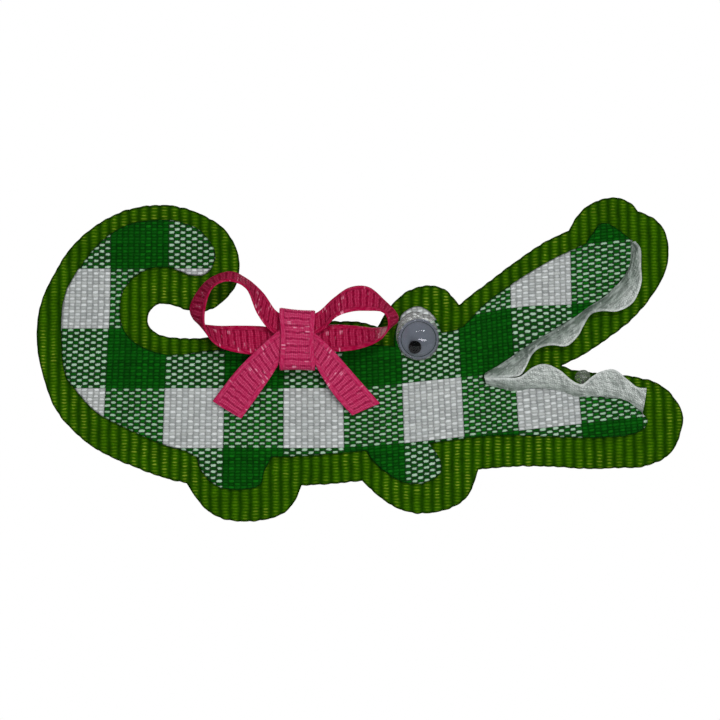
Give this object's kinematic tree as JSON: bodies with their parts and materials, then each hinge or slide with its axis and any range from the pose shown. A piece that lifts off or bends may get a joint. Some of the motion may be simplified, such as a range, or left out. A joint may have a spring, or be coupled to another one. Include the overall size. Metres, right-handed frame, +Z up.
{
  "type": "alligator hair clip",
  "caption": "Sprung metal single-prong hair clip carrying a flat cut-ribbon alligator figure with a wiggle eye and a pink bow.",
  "frame": {"origin": "middle of the clip's jaws, on the plane of the lining where hair is gripped", "axes": "+X to the alligator's snout, +Z up from its feet to its back, -Y out of its decorated face, +Y towards the wearer's head"},
  "size_m": [0.0808, 0.0158, 0.0405],
  "materials": {
    "nickel_steel": "bright nickel-plated pressed steel",
    "pin_steel": "plain steel pin with peened ends",
    "spring_wire": "hard-drawn spring wire",
    "olive_grosgrain": "olive grosgrain ribbon with upright ribs",
    "lining_grosgrain": "olive grosgrain lining ribbon",
    "gingham": "green and white woven gingham ribbon",
    "white_ribbon": "white soft ribbon",
    "pink_grosgrain": "pink narrow grosgrain with a slight sparkle",
    "hot_melt": "clear hot-melt glue",
    "eye_white": "white plastic",
    "eye_black": "black plastic",
    "eye_clear": "clear plastic dome"
  },
  "bodies": {
    "root": {"clip_base": "nickel_steel", "hinge_pin": "pin_steel", "torsion_spring": "spring_wire", "clip_lining": "lining_grosgrain", "glue_clip_pad": "hot_melt", "backing_ribbon": "olive_grosgrain", "glue_under_gingham": "hot_melt", "lower_teeth": "white_ribbon", "upper_teeth": "white_ribbon", "gingham_ribbon": "gingham", "glue_mouth_bead": "hot_melt", "glue_under_eye": "hot_melt", "eye_cup": "eye_white", "eye_dome": "eye_clear", "glue_under_bow": "hot_melt", "bow_loops": "pink_grosgrain", "bow_tails": "pink_grosgrain", "bow_knot": "pink_grosgrain"},
    "prong": {"clip_prong": "nickel_steel"},
    "pupil": {"eye_pupil": "eye_black"}
  },
  "joints": [
    {"name": "prong_hinge", "type": "hinge", "parent": "root", "child": "prong", "pos_m": [-0.017, 0.0016, 0], "axis": [0, 0, 1], "range_deg": [0, 28], "stiffness_Nm_per_rad": 0.05, "springref_deg": -57.3, "deforming": ["torsion_spring"]},
    {"name": "pupil_orbit", "type": "hinge", "parent": "root", "child": "pupil", "pos_m": [0.0043, -0.0044, 0.0101], "axis": [0, 1, 0], "continuous": true}
  ]
}
